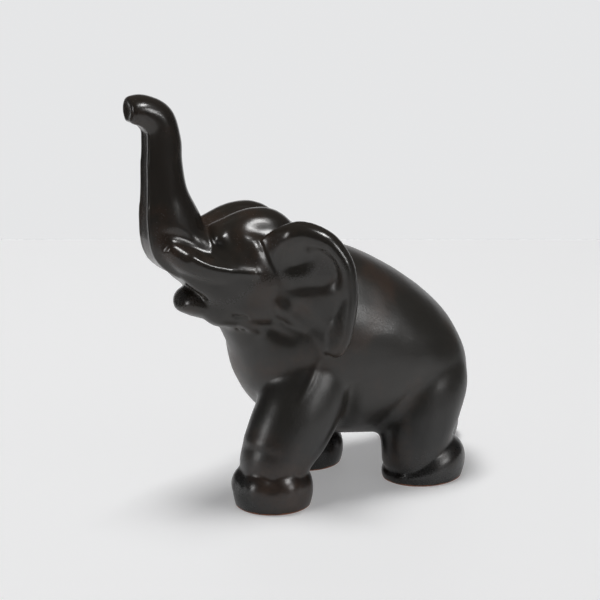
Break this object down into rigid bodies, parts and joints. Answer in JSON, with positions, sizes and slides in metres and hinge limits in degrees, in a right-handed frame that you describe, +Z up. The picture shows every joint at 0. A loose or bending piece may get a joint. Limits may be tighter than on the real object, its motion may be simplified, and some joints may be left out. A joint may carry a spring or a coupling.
{
  "type": "elephant figurine",
  "caption": "Striding elephant figurine with a raised trunk and open mouth, hollow-built in red clay under a black glaze.",
  "frame": {"origin": "on the standing surface, midway along and midway across the whole figurine", "axes": "+X to the elephant's left, -Y the way it walks, +Z up"},
  "size_m": [0.0914, 0.1772, 0.1881],
  "materials": {
    "satin_black_glaze": "black glaze, satin and faintly mottled, red-brown where it is thin over the clay",
    "glossy_black_glaze": "black glaze pooled glossy on the head, trunk and ears"
  },
  "bodies": {
    "root": {"torso": "satin_black_glaze", "head": "glossy_black_glaze", "trunk": "glossy_black_glaze", "lower_jaw": "glossy_black_glaze", "left_ear": "glossy_black_glaze", "right_ear": "glossy_black_glaze", "tail": "satin_black_glaze", "left_front_leg": "satin_black_glaze", "right_front_leg": "satin_black_glaze", "left_rear_leg": "satin_black_glaze", "right_rear_leg": "satin_black_glaze"}
  },
  "joints": []
}
